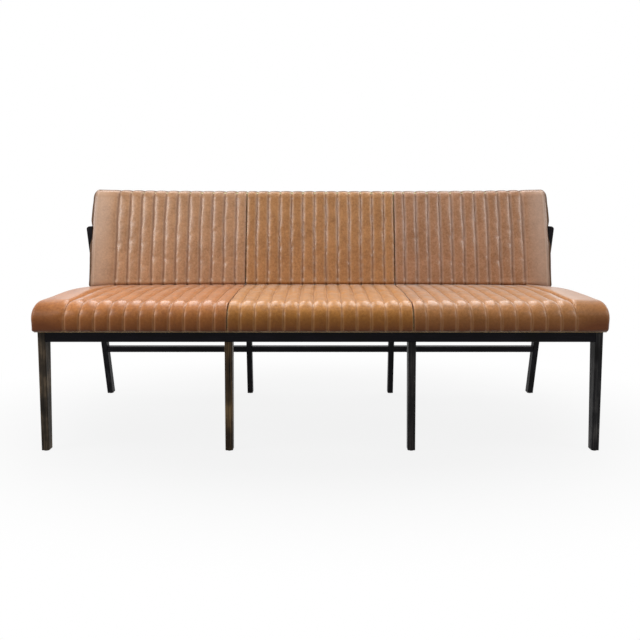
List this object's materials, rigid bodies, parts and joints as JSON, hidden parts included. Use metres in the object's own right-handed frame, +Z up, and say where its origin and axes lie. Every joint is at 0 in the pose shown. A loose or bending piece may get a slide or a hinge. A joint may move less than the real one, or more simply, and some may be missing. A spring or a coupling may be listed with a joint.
{
  "type": "upholstered dining bench",
  "caption": "Dining bench with a dark-stained wooden frame and a channel-stitched brown leather seat and leaning back.",
  "frame": {"origin": "on the floor under the middle of the bench", "axes": "+X along the bench, +Y from the front to the back, +Z up"},
  "size_m": [1.8528, 0.6159, 0.852],
  "materials": {
    "frame_wood": "dark espresso stain under a satin lacquer",
    "raw_wood": "plain birch and beech, unfinished",
    "leather": "semi-aniline tan leather, channel stitched, satin",
    "foam": "upholstery foam",
    "dust_cloth": "black non-woven cloth",
    "glide": "moulded nylon",
    "strap_steel": "black powder coat",
    "hardware": "zinc plated"
  },
  "bodies": {
    "root": {"front_leg_left": "frame_wood", "front_leg_right": "frame_wood", "front_leg_inner_left": "frame_wood", "front_leg_inner_right": "frame_wood", "rear_post_left": "frame_wood", "rear_post_right": "frame_wood", "rear_leg_inner_left": "frame_wood", "rear_leg_inner_right": "frame_wood", "front_apron": "frame_wood", "rear_rail": "frame_wood", "side_rail_left": "frame_wood", "side_rail_right": "frame_wood", "cross_rail_left": "frame_wood", "cross_rail_right": "frame_wood", "stretcher_left": "frame_wood", "stretcher_middle": "frame_wood", "stretcher_right": "frame_wood", "corner_blocks": "raw_wood", "dowels": "raw_wood", "block_screws": "hardware", "foot_glides": "glide", "seat_board": "raw_wood", "seat_screws": "hardware", "seat_foam": "foam", "dust_cover": "dust_cloth", "seat_cover_left": "leather", "seat_cover_middle": "leather", "seat_cover_right": "leather", "back_stile_left": "raw_wood", "back_stile_right": "raw_wood", "back_stile_inner_left": "raw_wood", "back_stile_inner_right": "raw_wood", "back_top_rail": "raw_wood", "back_bottom_rail": "raw_wood", "back_ply": "raw_wood", "back_foam": "foam", "back_cover_left": "leather", "back_cover_middle": "leather", "back_cover_right": "leather", "back_rear_panel": "leather", "back_straps": "strap_steel", "strap_screws": "hardware", "post_bolts": "hardware"}
  },
  "joints": []
}
